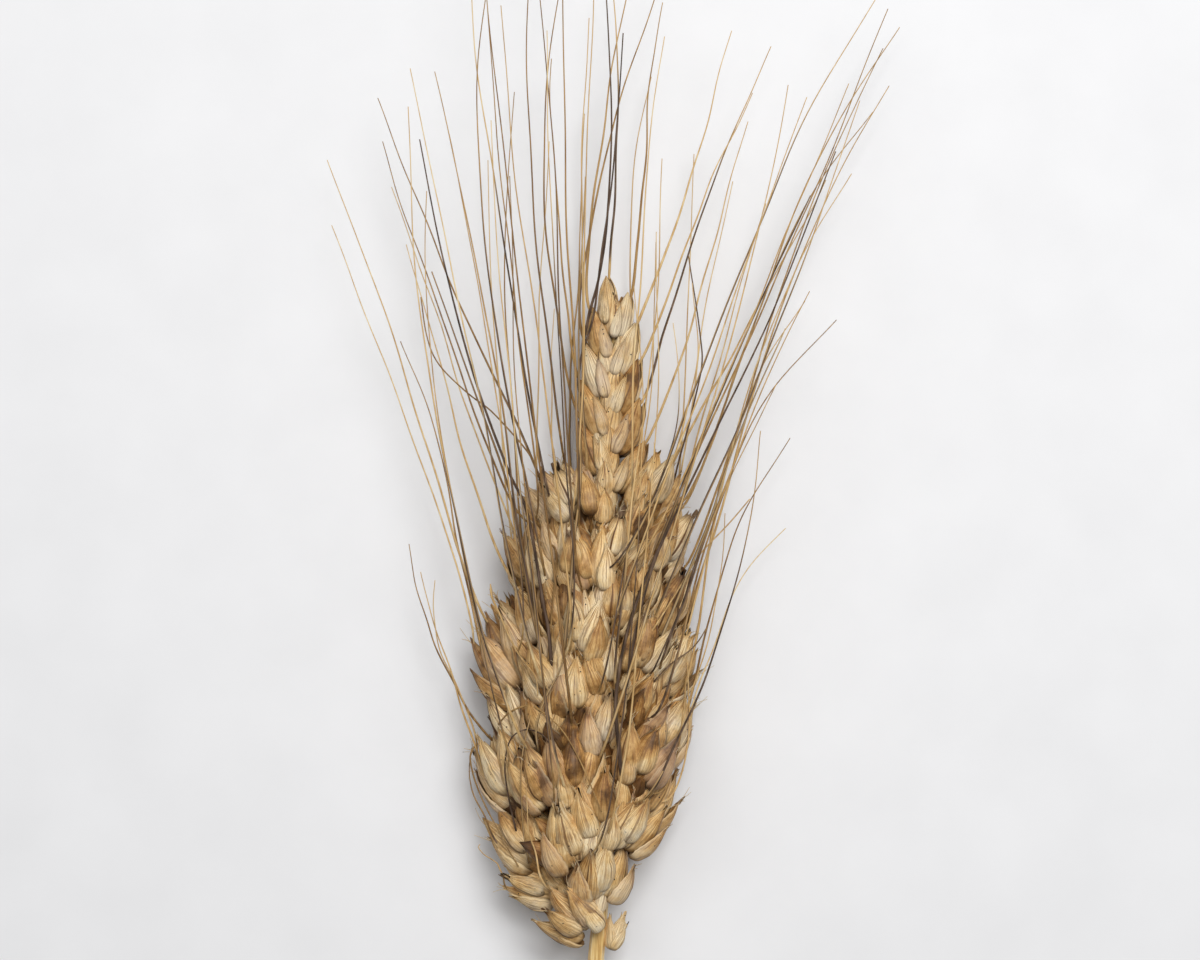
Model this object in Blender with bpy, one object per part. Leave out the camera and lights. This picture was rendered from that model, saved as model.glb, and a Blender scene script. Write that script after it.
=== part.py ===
"""An ear of branched, bearded wheat, dried, lying flat with its awns towards +Y.

The ear is a stalk that runs on as a zigzag axis with side branches, and spikelets on it: a crowd of
them round the lower three quarters, and a plain two-rowed spike above. Each spikelet is one closed
loft: a keeled, flattened pod of husks that narrows to a beak and runs on as its long awn.

Units are metres; places in the lists are millimetres. The ear rests on z = 0 with its length along
Y, and X runs across it. Places along the ear count from the point of the stalk where its lowest
bracts sit. The whole ear is then moved so that the middle of its box stands over the origin.
"""
import math

import bmesh
import bpy
from mathutils import Vector
from mathutils.bvhtree import BVHTree

MM = 0.001
WELD = 0.01 * MM

# Driving dimensions of the whole ear, in millimetres.
AXIS_HEIGHT = 9.2           # height of the ear's axis over the surface it lies on
FRONT_FOOT = 11.3           # height of the feet of the spikelets on the upper side
UNDER_FOOT = 2.1            # height of the feet of the spikelets that lie on the surface
UNDER_BEAK = 0.9            # and of their beaks
BODY_DEPTH = 8.6            # how far over the axis the upper beaks stand where the ear is fullest
BODY_START = 2.0            # the crowded part begins here along the ear
BODY_FULL = 26.0            # and reaches its full depth here
SPIKE_START = 84.0          # above this the ear is only the slender two-rowed spike
SPIKE_DEPTH = 4.6           # depth of the ear where the spike begins

# The stalk: points across and along the ear, with the radius at each. The axis goes on from it.
STALK_ROUTE = ((-1.7, -12.0, 1.3), (-1.3, 0.0, 1.3), (-0.4, 10.0, 1.2))
AXIS_TOP = 101.0            # the axis ends at its last joint below this place
AXIS_STEP = 6.4             # one joint of the zigzag, the distance between two spikelets of a side
AXIS_SWAY = 0.35            # how far each joint steps to its side
AXIS_LEAN = 1.6             # how far the whole axis leans towards +X on its way up
AXIS_RADIUS = (1.1, 0.5)    # at the foot and at the top
BRANCH_RADIUS = 0.6
BRANCH_RISE = 0.75          # a branch leaves the axis this far below its spikelet, per unit of reach
BRANCH_SAG = 0.08           # and bends this far down on its way, per unit of reach
BRANCH_GAP = 0.5            # a branch ends this far before its spikelet's foot

# One spikelet's pod, in millimetres: stations are (share of the length, share of the full size).
POD_WIDTH = 3.9
POD_THICKNESS = 3.2
POD_START_SIZE = 0.72       # every pod is placed at this share of the full size
POD_SIZES = (0.86, 1.0, 1.15, 1.3, 1.45, 1.6)  # and grows through these while it has room
POD_STATIONS = ((0.0, 0.24), (0.18, 0.78), (0.42, 1.0), (0.68, 0.86), (0.88, 0.45),
                (1.0, 0.18))
SECTION_SIDES = 6
AWN_RADIUS = (0.40, 0.16)   # at the beak and at the tip
AWN_SECTIONS = 7
AWN_CROWDING = 1.3          # its sections stand closer together near the pod, where it bends
AWN_START_PULL = 0.12       # how far the awn keeps the pod's direction, as a share of its reach
AWN_END_PULL = 0.38         # and how far it already has its last direction
CLEARANCE = 0.3             # kept between any two pieces

# How far a piece may be moved to be clear: steps each way, their size, and how much less sideways.
POD_SEARCH = (8, 0.3, 0.6)
AWN_SEARCH = (16, 1.0, 0.8)
AWN_SWAY = (1.0, 0.5, 0.3)  # how much of that move the awn's second, third and last corner takes
SHARP_EDGE = math.radians(50)

# Rows of spikelets. Each has the side of the ear it grows on, in degrees round the axis (0 faces up,
# 90 is +X, 180 is the underside), the height of its pods' feet, the height its awns run at, and its
# spikelets from the foot up: foot of the pod, beak of the pod, end of the awn, and the way the awn
# points there, in degrees from the ear's length towards +X.
ROWS = {
    "left_edge": (-90, AXIS_HEIGHT, 9, (
        ((-7.5, 11.0), (-14.0, 15.5), (-21.5, 33.5), 8),
        ((-10.0, 16.5), (-17.0, 24.5), (-29.5, 62.0), -14),
        ((-13.0, 25.5), (-19.0, 35.5), (-31.0, 66.5), 2),
        ((-12.0, 35.0), (-17.5, 43.0), (-32.5, 99.0), -28),
        ((-12.0, 43.0), (-19.5, 53.0), (-45.0, 128.0), -20),
        ((-11.0, 51.0), (-15.0, 59.0), (-31.5, 114.5), -14),
        ((-9.5, 60.0), (-14.0, 69.0), (-35.5, 131.0), -18),
        ((-6.5, 69.0), (-10.0, 77.0), (-36.5, 138.0), -20),
    )),
    "front_left": (-35, FRONT_FOOT, 19, (
        ((-2.5, 5.0), (-8.5, 10.0), (-12.5, 29.0), -6),
        ((-8.0, 25.5), (-12.0, 33.5), (-30.5, 135.5), 3),
        ((-8.0, 35.0), (-10.5, 43.0), (-30.5, 141.5), -13),
        ((-7.5, 43.0), (-10.0, 51.5), (-26.5, 141.0), -14),
        ((-6.0, 53.0), (-8.5, 61.5), (-18.0, 161.5), 10),
        ((-6.0, 62.5), (-8.0, 71.0), (-21.5, 163.0), -3),
        ((-4.0, 71.5), (-6.0, 79.5), (-11.5, 168.0), 4),
    )),
    "middle_left": (-10, FRONT_FOOT, 22, (
        ((-4.0, 16.0), (-6.5, 26.0), (-17.5, 133.0), -2),
        ((-5.0, 27.0), (-5.0, 37.0), (-19.0, 165.0), -3),
        ((-4.5, 39.5), (-4.0, 48.5), (-16.0, 151.0), -3),
        ((-4.0, 49.5), (-5.0, 59.0), (-11.5, 163.0), -8),
        ((-2.0, 59.5), (-3.0, 69.0), (-7.0, 169.5), -1),
        ((-1.5, 70.0), (-2.0, 77.0), (-2.0, 149.0), 7),
    )),
    "middle_right": (10, FRONT_FOOT, 23, (
        ((-1.0, 10.5), (1.0, 19.0), (8.0, 115.5), -3),
        ((0.0, 21.5), (0.5, 31.5), (28.5, 138.5), 8),
        ((0.0, 34.0), (0.5, 43.0), (9.0, 127.0), 0),
        ((0.5, 44.0), (1.5, 52.5), (31.5, 136.5), 20),
        ((1.0, 53.5), (3.0, 62.0), (14.0, 107.5), -14),
        ((1.5, 63.5), (3.0, 72.0), (9.5, 146.0), 10),
    )),
    "front_right": (35, FRONT_FOOT, 18, (
        ((2.5, 18.5), (7.0, 26.0), (25.0, 84.5), 3),
        ((5.0, 29.5), (9.0, 38.0), (36.5, 102.0), 52),
        ((4.5, 38.5), (8.0, 46.0), (32.5, 106.5), 26),
        ((5.0, 47.0), (8.0, 55.0), (40.5, 136.5), 18),
        ((4.5, 56.0), (7.5, 64.0), (45.0, 151.0), 22),
        ((4.0, 66.0), (7.5, 73.0), (43.5, 153.5), 35),
    )),
    "right_edge": (90, AXIS_HEIGHT, 8, (
        ((5.5, 22.5), (10.0, 31.0), (29.0, 83.5), 45),
        ((8.0, 33.0), (12.5, 42.0), (32.0, 105.5), 40),
        ((8.0, 43.5), (13.5, 52.0), (46.5, 140.0), 32),
        ((8.5, 53.0), (13.5, 61.5), (45.0, 146.0), 28),
        ((8.0, 62.5), (13.0, 71.0), (47.5, 149.5), 38),
        ((6.5, 71.5), (10.5, 79.5), (35.5, 125.0), 25),
    )),
    "under_left": (-165, UNDER_FOOT, 4, (
        ((-5.0, 16.0), (-8.5, 25.0), (-18.5, 128.5), 0),
        ((-5.0, 27.5), (-8.0, 36.5), (-14.5, 139.5), 6),
        ((-5.0, 39.0), (-7.5, 48.0), (-8.5, 131.5), 6),
        ((-4.5, 51.5), (-7.0, 61.0), (-8.0, 104.5), 3),
        ((-3.5, 64.0), (-5.5, 73.5), (-3.0, 136.0), 2),
    )),
    "under_right": (165, UNDER_FOOT, 4, (
        ((2.0, 17.5), (5.0, 26.5), (14.0, 129.5), 5),
        ((2.5, 29.5), (6.0, 38.5), (21.0, 125.0), 15),
        ((2.5, 41.5), (6.0, 50.5), (26.5, 121.5), 20),
        ((2.0, 55.0), (5.0, 64.5), (7.5, 142.0), 14),
    )),
    "spike_left": (-80, AXIS_HEIGHT, 11, (
        ((-1.2, 77.5), (-4.2, 84.8), (-6.0, 161.5), 14),
        ((-1.0, 83.5), (-4.0, 91.2), (-8.5, 144.0), 2),
        ((-0.8, 89.8), (-3.4, 97.3), (11.5, 163.0), 18),
        ((-0.5, 96.2), (-2.6, 103.0), (6.0, 165.0), 12),
    )),
    "spike_right": (80, AXIS_HEIGHT, 11, (
        ((3.0, 74.5), (6.8, 81.5), (23.0, 134.0), 15),
        ((2.8, 80.7), (6.2, 88.2), (27.0, 146.0), 30),
        ((2.8, 87.0), (5.9, 94.6), (23.5, 138.5), 26),
        ((2.8, 93.3), (5.5, 100.6), (20.5, 148.5), 14),
        ((2.6, 99.4), (4.4, 105.6), (9.5, 153.0), 12),
    )),
    "spike_tip": (0, AXIS_HEIGHT, 12, (
        ((1.1, 102.0), (1.2, 108.6), (1.0, 164.0), -6),
    )),
}
BRANCHED_ROWS = ("left_edge", "right_edge", "under_left", "under_right")

# The short tuft of bracts beside the stalk: foot, top, width and thickness.
BRACT_FOOT = (1.1, 1.6)
BRACT_TOP = (2.6, 6.4)
BRACT_WIDTH = 2.2
BRACT_THICKNESS = 1.4
BRACT_STATIONS = ((0.0, 0.4), (0.4, 0.85), (0.8, 1.0), (1.0, 0.6))

HUSK_COLOUR = (0.60, 0.42, 0.20)
STRAW_COLOUR = (0.68, 0.47, 0.14)


def clear_scene():
    """Empty the file of objects, so that the model starts from nothing."""
    for item in list(bpy.data.objects):
        bpy.data.objects.remove(item)


def make_collection(name):
    """A collection under the scene's own."""
    group = bpy.data.collections.new(name)
    bpy.context.scene.collection.children.link(group)
    return group


def make_material(name, colour, roughness):
    """A plain dry plant surface, with its colour, roughness and no metal."""
    material = bpy.data.materials.new(name)
    material.use_nodes = True
    shader = material.node_tree.nodes["Principled BSDF"]
    shader.inputs["Base Color"].default_value = (*colour, 1.0)
    shader.inputs["Roughness"].default_value = roughness
    shader.inputs["Metallic"].default_value = 0.0
    return material


def ear_depth(along):
    """How far over the axis the upper beaks stand at a place along the ear, in millimetres."""
    if along < BODY_FULL:
        share = max(0.0, (along - BODY_START) / (BODY_FULL - BODY_START))
        least = FRONT_FOOT - AXIS_HEIGHT
        return least + (BODY_DEPTH - least) * math.sin(share * math.pi / 2)
    share = min(1.0, (along - BODY_FULL) / (SPIKE_START - BODY_FULL))
    return BODY_DEPTH - (BODY_DEPTH - SPIKE_DEPTH) * share ** 3


def axis_points():
    """The zigzag axis from the stalk's cut end to the last joint, as (point, radius) in millimetres."""
    points = [(Vector((x, y, AXIS_HEIGHT)), radius) for x, y, radius in STALK_ROUTE]
    start = STALK_ROUTE[-1]
    joints = int((AXIS_TOP - start[1]) / AXIS_STEP)
    for joint in range(1, joints + 1):
        share = joint / joints
        across = start[0] + AXIS_LEAN * share + AXIS_SWAY * (-1) ** joint
        radius = AXIS_RADIUS[0] + (AXIS_RADIUS[1] - AXIS_RADIUS[0]) * share
        points.append((Vector((across, start[1] + joint * AXIS_STEP, AXIS_HEIGHT)), radius))
    return points


def make_tube(name, points, group):
    """A closed tube along (point, radius) pairs, as a mesh object with welded caps."""
    curve = bpy.data.curves.new(name, "CURVE")
    curve.dimensions = "3D"
    curve.bevel_depth = MM
    curve.bevel_resolution = 2
    curve.use_fill_caps = True
    spline = curve.splines.new("POLY")
    spline.points.add(len(points) - 1)
    for slot, (place, radius) in zip(spline.points, points):
        slot.co = (*(place * MM), 1.0)
        slot.radius = radius
    drawn = bpy.data.objects.new(name + "_curve", curve)
    group.objects.link(drawn)
    bpy.context.view_layer.update()
    evaluated = drawn.evaluated_get(bpy.context.evaluated_depsgraph_get())
    mesh = bpy.data.meshes.new_from_object(evaluated)
    weld_points(mesh)
    tube = bpy.data.objects.new(name, mesh)
    tube.matrix_world = drawn.matrix_world.copy()
    group.objects.link(tube)
    bpy.data.objects.remove(drawn)
    return tube


def weld_points(mesh):
    """Join a curve's loose caps to its sides."""
    work = bmesh.new()
    work.from_mesh(mesh)
    bmesh.ops.remove_doubles(work, verts=work.verts, dist=WELD)
    bmesh.ops.recalc_face_normals(work, faces=work.faces)
    work.to_mesh(mesh)
    work.free()


def make_axis(parts, cutters, material):
    """The stalk and axis with every side branch joined to it, as one body."""
    points = axis_points()
    axis = make_tube("stalk_and_axis", points, parts)
    axis.data.materials.append(material)
    for row in BRANCHED_ROWS:
        for number in range(1, len(ROWS[row][3]) + 1):
            spikelet = Spikelet(row, number)
            reach = abs(spikelet.foot.x) + abs(spikelet.foot.z - AXIS_HEIGHT)
            low = max(STALK_ROUTE[1][1], spikelet.foot.y - BRANCH_RISE * reach)
            start = Vector((axis_across(points, low), low, AXIS_HEIGHT))
            outward = (spikelet.beak - spikelet.foot).normalized()
            last = spikelet.foot - outward * BRANCH_GAP
            middle = (start + last) / 2 + Vector((0.0, -BRANCH_SAG * reach, 0.0))
            route = [(start, BRANCH_RADIUS), (middle, BRANCH_RADIUS), (last, BRANCH_RADIUS)]
            branch = make_tube(f"branch_{row}_{number}", route, cutters)
            hide_cutter(branch)
            union = axis.modifiers.new(branch.name, "BOOLEAN")
            union.operation = "UNION"
            union.solver = "EXACT"
            union.object = branch
    return axis


def hide_cutter(item):
    """Keep a helper shape out of the model."""
    item.hide_render = True
    item.display_type = "WIRE"


def axis_across(points, along):
    """Where the axis stands across the ear at a place along it."""
    for (low, _), (high, _) in zip(points, points[1:]):
        if low.y <= along <= high.y:
            return low.x + (high.x - low.x) * (along - low.y) / (high.y - low.y)
    return points[-1][0].x


def bezier(corners, share):
    """The point of a cubic curve with four corners."""
    rest = 1.0 - share
    a, b, c, d = corners
    return a * rest ** 3 + b * (3 * rest ** 2 * share) + c * (3 * rest * share ** 2) + d * share ** 3


class Spikelet:
    """One spikelet: where its pod and its awn run, and how far they are moved to be clear."""

    def __init__(self, row, number):
        side, foot_height, awn_height, spikelets = ROWS[row]
        foot, beak, end, heading = spikelets[number - 1]
        self.name = f"spikelet_{row}_{number}"
        turn = math.radians(side)
        self.outward = Vector((math.sin(turn), 0.0, math.cos(turn)))
        beak_height = foot_height
        if foot_height == FRONT_FOOT:
            beak_height = AXIS_HEIGHT + ear_depth(beak[1])
        if foot_height == UNDER_FOOT:
            beak_height = UNDER_BEAK
        self.foot = Vector((*foot, foot_height))
        self.beak = Vector((*beak, beak_height))
        way = math.radians(heading)
        self.heading = Vector((math.sin(way), math.cos(way), 0.0))
        self.end = Vector((*end, awn_height))
        self.size = 1.0
        self.shift = Vector((0.0, 0.0, 0.0))
        self.sway = Vector((0.0, 0.0, 0.0))

    def pod_sections(self):
        """Centre, width and thickness of each section of the pod."""
        beak = self.beak + self.shift
        sections = []
        for share, fullness in POD_STATIONS:
            centre = self.foot.lerp(beak, share)
            full = fullness * self.size
            sections.append((centre, POD_WIDTH * full, POD_THICKNESS * full))
        return sections

    def awn_sections(self):
        """Centre, width and thickness of each section of the awn, from past the beak to its tip."""
        start = self.beak + self.shift
        reach = (self.end - start).length
        along_pod = (start - self.foot).normalized()
        corners = (
            start,
            start + along_pod * (AWN_START_PULL * reach) + self.sway * AWN_SWAY[0],
            self.end - self.heading * (AWN_END_PULL * reach) + self.sway * AWN_SWAY[1],
            self.end + self.sway * AWN_SWAY[2],
        )
        sections = []
        for step in range(1, AWN_SECTIONS + 1):
            share = (step / AWN_SECTIONS) ** AWN_CROWDING
            width = 2 * (AWN_RADIUS[0] + (AWN_RADIUS[1] - AWN_RADIUS[0]) * share)
            sections.append((bezier(corners, share), width, width))
        return sections

    def tree(self, sections, grow=0.0):
        """The loft as a search tree, for testing whether it meets another piece."""
        corners, faces = loft(sections, self.outward, grow)
        return BVHTree.FromPolygons(corners, faces, all_triangles=False)


def loft(sections, outward, grow=0.0):
    """Corner points and faces of a closed loft through (centre, width, thickness) sections.

    The width runs across the outward direction and the thickness along it. A corner that would be
    under the surface the ear lies on is laid flat on it.
    """
    corners = []
    for index, (centre, width, thickness) in enumerate(sections):
        before = sections[max(index - 1, 0)][0]
        after = sections[min(index + 1, len(sections) - 1)][0]
        along = (after - before).normalized()
        across = outward.cross(along).normalized()
        out = along.cross(across)
        for corner in range(SECTION_SIDES):
            angle = 2 * math.pi * corner / SECTION_SIDES
            place = centre + across * (math.cos(angle) * (width / 2 + grow))
            place += out * (math.sin(angle) * (thickness / 2 + grow))
            place.z = max(place.z, 0.0)
            corners.append(place)
    faces = [tuple(reversed(range(SECTION_SIDES)))]
    for ring in range(len(sections) - 1):
        low = ring * SECTION_SIDES
        high = low + SECTION_SIDES
        for corner in range(SECTION_SIDES):
            beside = (corner + 1) % SECTION_SIDES
            faces.append((low + corner, low + beside, high + beside, high + corner))
    last = (len(sections) - 1) * SECTION_SIDES
    faces.append(tuple(range(last, last + SECTION_SIDES)))
    return corners, faces


def nearest_first(steps, spacing, across):
    """Small moves to try, the shortest first: up, down, and to the sides."""
    moves = []
    for x in range(-steps, steps + 1):
        for z in range(-steps, steps + 1):
            moves.append(Vector((x * spacing * across, 0.0, z * spacing)))
    return sorted(moves, key=lambda move: (round(move.length, 4), move.z, move.x))


def place_pod(spikelet, others):
    """Shift a small pod by the least that keeps it clear of the others."""
    spikelet.size = POD_START_SIZE
    for move in nearest_first(*POD_SEARCH):
        spikelet.shift = move
        grown = spikelet.tree(spikelet.pod_sections(), CLEARANCE)
        if not any(grown.overlap(other) for other in others):
            return True
    return False


def grow_pod(spikelet, size, others):
    """Give a pod this size if that keeps it clear of the others, or leave it as it was."""
    before = spikelet.size
    spikelet.size = size
    grown = spikelet.tree(spikelet.pod_sections(), CLEARANCE)
    if any(grown.overlap(other) for other in others):
        spikelet.size = before


def fit_awn(spikelet, others):
    """Bend an awn by the least that keeps it clear of the others and off the surface."""
    for move in nearest_first(*AWN_SEARCH):
        spikelet.sway = move
        sections = spikelet.awn_sections()
        if min(place.z for place, _, _ in sections) < AWN_RADIUS[0] + CLEARANCE:
            continue
        grown = spikelet.tree(spikelet.pod_sections()[-1:] + sections, CLEARANCE)
        if not any(grown.overlap(other) for other in others):
            return True
    return False


def settle(spikelets, axis_tree):
    """Move each pod, then each awn, by the least that keeps it clear of all the others."""
    missed = []
    pods = []
    for spikelet in spikelets:
        if not place_pod(spikelet, [axis_tree] + pods):
            missed.append(spikelet.name + " pod")
        pods.append(spikelet.tree(spikelet.pod_sections()))
    for size in POD_SIZES:
        for index, spikelet in enumerate(spikelets):
            grow_pod(spikelet, size, [axis_tree] + pods[:index] + pods[index + 1:])
            pods[index] = spikelet.tree(spikelet.pod_sections())
    awns = []
    for index, spikelet in enumerate(spikelets):
        others = [axis_tree] + pods[:index] + pods[index + 1:] + awns
        if not fit_awn(spikelet, others):
            missed.append(spikelet.name + " awn")
        awns.append(spikelet.tree(spikelet.pod_sections()[-1:] + spikelet.awn_sections()))
    return missed


def make_bracts(group, material):
    """The tuft beside the stalk: a small flat pod without an awn."""
    foot = Vector((*BRACT_FOOT, AXIS_HEIGHT))
    top = Vector((*BRACT_TOP, AXIS_HEIGHT))
    sections = []
    for share, fullness in BRACT_STATIONS:
        sections.append((foot.lerp(top, share), BRACT_WIDTH * fullness, BRACT_THICKNESS * fullness))
    corners, faces = loft(sections, Vector((0.0, 0.0, 1.0)))
    return make_solid("bract_tuft", corners, faces, group, material)


def make_spikelet(spikelet, group, material):
    """The finished solid of one spikelet."""
    corners, faces = loft(spikelet.pod_sections() + spikelet.awn_sections(), spikelet.outward)
    return make_solid(spikelet.name, corners, faces, group, material)


def make_solid(name, corners, faces, group, material):
    """A smooth-shaded mesh object with its origin at its first section."""
    origin = corners[0] * MM
    mesh = bpy.data.meshes.new(name)
    mesh.from_pydata([corner * MM - origin for corner in corners], [], faces)
    mesh.shade_smooth()
    mesh.set_sharp_from_angle(angle=SHARP_EDGE)
    mesh.materials.append(material)
    solid = bpy.data.objects.new(name, mesh)
    solid.location = origin
    group.objects.link(solid)
    return solid


def axis_search_tree(axis):
    """The finished axis as a search tree in millimetres."""
    bpy.context.view_layer.update()
    evaluated = axis.evaluated_get(bpy.context.evaluated_depsgraph_get())
    mesh = evaluated.to_mesh()
    corners = [axis.matrix_world @ vertex.co / MM for vertex in mesh.vertices]
    faces = [tuple(face.vertices) for face in mesh.polygons]
    tree = BVHTree.FromPolygons(corners, faces, all_triangles=False)
    evaluated.to_mesh_clear()
    return tree


def centre_ear(parts, cutters):
    """Hang every piece on one empty, and move that so the ear's box is centred over the origin."""
    bpy.context.view_layer.update()
    graph = bpy.context.evaluated_depsgraph_get()
    places = []
    for item in parts.objects:
        evaluated = item.evaluated_get(graph)
        mesh = evaluated.to_mesh()
        places.extend(item.matrix_world @ vertex.co for vertex in mesh.vertices)
        evaluated.to_mesh_clear()
    low_x, high_x = min(place.x for place in places), max(place.x for place in places)
    low_y, high_y = min(place.y for place in places), max(place.y for place in places)
    ear = bpy.data.objects.new("ear", None)
    bpy.context.scene.collection.objects.link(ear)
    for item in list(parts.objects) + list(cutters.objects):
        item.parent = ear
    ear.location = (-(low_x + high_x) / 2, -(low_y + high_y) / 2, 0.0)


def main():
    clear_scene()
    parts = make_collection("wheat_ear")
    cutters = make_collection("helpers")
    straw = make_material("straw", STRAW_COLOUR, 0.55)
    husk = make_material("husk", HUSK_COLOUR, 0.7)
    axis = make_axis(parts, cutters, straw)
    spikelets = []
    for row, (_, _, _, places) in ROWS.items():
        for number in range(1, len(places) + 1):
            spikelets.append(Spikelet(row, number))
    missed = settle(spikelets, axis_search_tree(axis))
    for spikelet in spikelets:
        make_spikelet(spikelet, parts, husk)
    make_bracts(parts, husk)
    centre_ear(parts, cutters)
    print("pieces:", len(parts.objects), "not clear:", missed)


main()
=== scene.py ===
# %% [markdown]
# # An ear of branched, bearded wheat
#
# The object is a dried ear of a branched wheat. A yellow stalk carries it and runs on inside it
# as a zigzag axis. Crowded spikelets cover the lower three quarters, a slender two-rowed spike
# stands above them, and a long stiff bristle, an awn, grows from the tip of nearly every floret.
# The solids already say where each spikelet and each awn runs. This lesson reads those places and
# dresses them: every pod becomes a nest of keeled husks, and every plain bristle a tapering awn.

# %% Load the solids and remember their box
import math

import bpy
import numpy as np
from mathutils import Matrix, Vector
from mathutils.bvhtree import BVHTree


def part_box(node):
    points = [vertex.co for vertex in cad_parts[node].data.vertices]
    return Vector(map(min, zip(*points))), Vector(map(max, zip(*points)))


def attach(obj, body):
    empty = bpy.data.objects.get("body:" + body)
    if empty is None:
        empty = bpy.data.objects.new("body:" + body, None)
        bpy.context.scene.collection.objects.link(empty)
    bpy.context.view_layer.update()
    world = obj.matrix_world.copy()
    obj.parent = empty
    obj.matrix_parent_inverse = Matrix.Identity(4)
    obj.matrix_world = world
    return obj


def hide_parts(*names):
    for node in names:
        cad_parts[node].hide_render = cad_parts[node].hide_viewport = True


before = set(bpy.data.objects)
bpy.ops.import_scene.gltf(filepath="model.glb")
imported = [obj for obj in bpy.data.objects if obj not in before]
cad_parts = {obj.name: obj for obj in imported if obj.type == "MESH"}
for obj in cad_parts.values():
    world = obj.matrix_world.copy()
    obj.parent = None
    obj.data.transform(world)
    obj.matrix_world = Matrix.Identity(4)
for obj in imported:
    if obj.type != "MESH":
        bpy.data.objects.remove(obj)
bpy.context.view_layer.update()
MM = 0.001
node_names = sorted(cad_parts)
spikelet_names = [name for name in node_names if name.startswith("spikelet_")]
print("solids:", len(node_names), "spikelets:", len(spikelet_names))

# %% [markdown]
# ## Reading a spikelet's place from its solid
# Each spikelet solid is a row of small six-cornered rings: one at the pod's foot, one at its beak
# and seven along the awn. The rings in the fat part of the pod are wide, so corners that stand
# less than 0.8 mm apart belong to one of the small rings. Linking near corners finds those rings
# without any list of places, and stepping from each ring to the nearest one left puts them in
# order.

# %% Find the rings of one solid
LINK = 0.8
AWN_RINGS = 7


def corners_of(node):
    """The distinct corner points of a solid, in millimetres."""
    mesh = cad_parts[node].data
    flat = np.empty(len(mesh.vertices) * 3)
    mesh.vertices.foreach_get("co", flat)
    return np.unique(np.round(flat.reshape(-1, 3) / MM, 2), axis=0)


def small_rings(points):
    """Centres of the groups of corners that are linked by gaps under LINK.

    Each corner takes the lowest label among its near neighbours, again and again, until every
    group of linked corners has one label.
    """
    near = np.linalg.norm(points[:, None] - points[None], axis=2) < LINK
    label = np.arange(len(points))
    for _ in range(8):
        label = np.where(near, label[None], len(points)).min(axis=1)
    groups = [points[label == each] for each in np.unique(label)]
    rings = [group for group in groups if len(group) > 4]
    centres = np.array([ring.mean(axis=0) for ring in rings])
    spread = np.array([np.linalg.norm(ring - ring.mean(axis=0), axis=1).mean() for ring in rings])
    return centres, spread


def in_order(centres, first):
    """The centres from the first one on, each followed by the nearest one that is left."""
    left = list(range(len(centres)))
    order = [first]
    left.remove(first)
    while left:
        gaps = [np.linalg.norm(centres[order[-1]] - centres[each]) for each in left]
        order.append(left.pop(int(np.argmin(gaps))))
    return centres[order]


def read_spikelet(node):
    """Foot, beak and awn line of a spikelet, in millimetres."""
    points = corners_of(node)
    centres, spread = small_rings(points)
    chain = in_order(centres, int(np.argmin(spread)))
    at_beak = min(AWN_RINGS, len(chain) - 2)    # one less where the beak touches the first awn ring
    return chain[-1], chain[at_beak], chain[at_beak::-1]


places = {name: read_spikelet(name) for name in spikelet_names}
print("awn rings found:", sorted({len(line) for _, _, line in places.values()}))
pods = [float(np.linalg.norm(beak - foot)) for foot, beak, _ in places.values()]
print("pods from", round(min(pods), 1), "to", round(max(pods), 1), "mm long")

# %% [markdown]
# ## Which way a spikelet faces
# A spikelet grows out from the axis to one side of the ear. Its florets stand left and right of
# that outward direction, like the fingers of a hand seen from the back. The side is the same for
# a whole row, so it is kept once for each row, as an angle round the axis: 0 faces up and 90
# faces +X.

# %% Directions of a spikelet
ROW_SIDE = {
    "left_edge": -52, "front_left": -26, "middle_left": -8, "middle_right": 8, "front_right": 26,
    "right_edge": 52, "under_left": -150, "under_right": 150, "spike_left": -76, "spike_right": 76,
    "spike_tip": 80,
}


def unit(vector):
    """The vector at length one."""
    return vector / np.linalg.norm(vector)


def row_of(name):
    """The row's name inside a spikelet's name."""
    return name[len("spikelet_"):].rsplit("_", 1)[0]


def directions(name, lift=0.0):
    """Across, along and outward directions of a spikelet with its foot lifted, as matrix rows."""
    foot, beak, _ = places[name]
    along = unit(beak - foot - np.array([0.0, 0.0, lift]))
    turn = math.radians(ROW_SIDE[row_of(name)])
    outward = np.array([math.sin(turn), 0.0, math.cos(turn)])
    across = unit(np.cross(along, outward))
    return np.array([across, along, np.cross(across, along)])


print("first spikelet points", np.round(directions(spikelet_names[0])[1], 2))

# %% [markdown]
# ## One mesh from many small surfaces
# A spikelet has some ten surfaces, and a separate object for each would be slow to handle. So
# each surface is a small record of points, faces and two attributes, and one function lays any
# number of them end to end in one mesh. The attributes tell a material where it is on its husk:
# grain is (across from -1 to 1, along from 0 to 1, outside 1 or inside 0), and mark is (tone,
# stain, darkness), which differ from husk to husk.

# %% Surfaces


def grid_faces(rows, ring):
    """Faces of a closed tube of rows rings with ring corners each, with a cap at each end.

    Corner c of ring r is number r * ring + c; a side face joins corners c and c + 1 of two rings.
    """
    r, c = np.meshgrid(np.arange(rows - 1), np.arange(ring), indexing="ij")
    beside = (c + 1) % ring
    low, high = r * ring, (r + 1) * ring
    sides = np.stack([low + c, low + beside, high + beside, high + c], -1)
    faces = sides.reshape(-1, 4).tolist()
    faces.append(list(range(ring))[::-1])
    faces.append(list(range((rows - 1) * ring, rows * ring)))
    return faces


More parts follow.
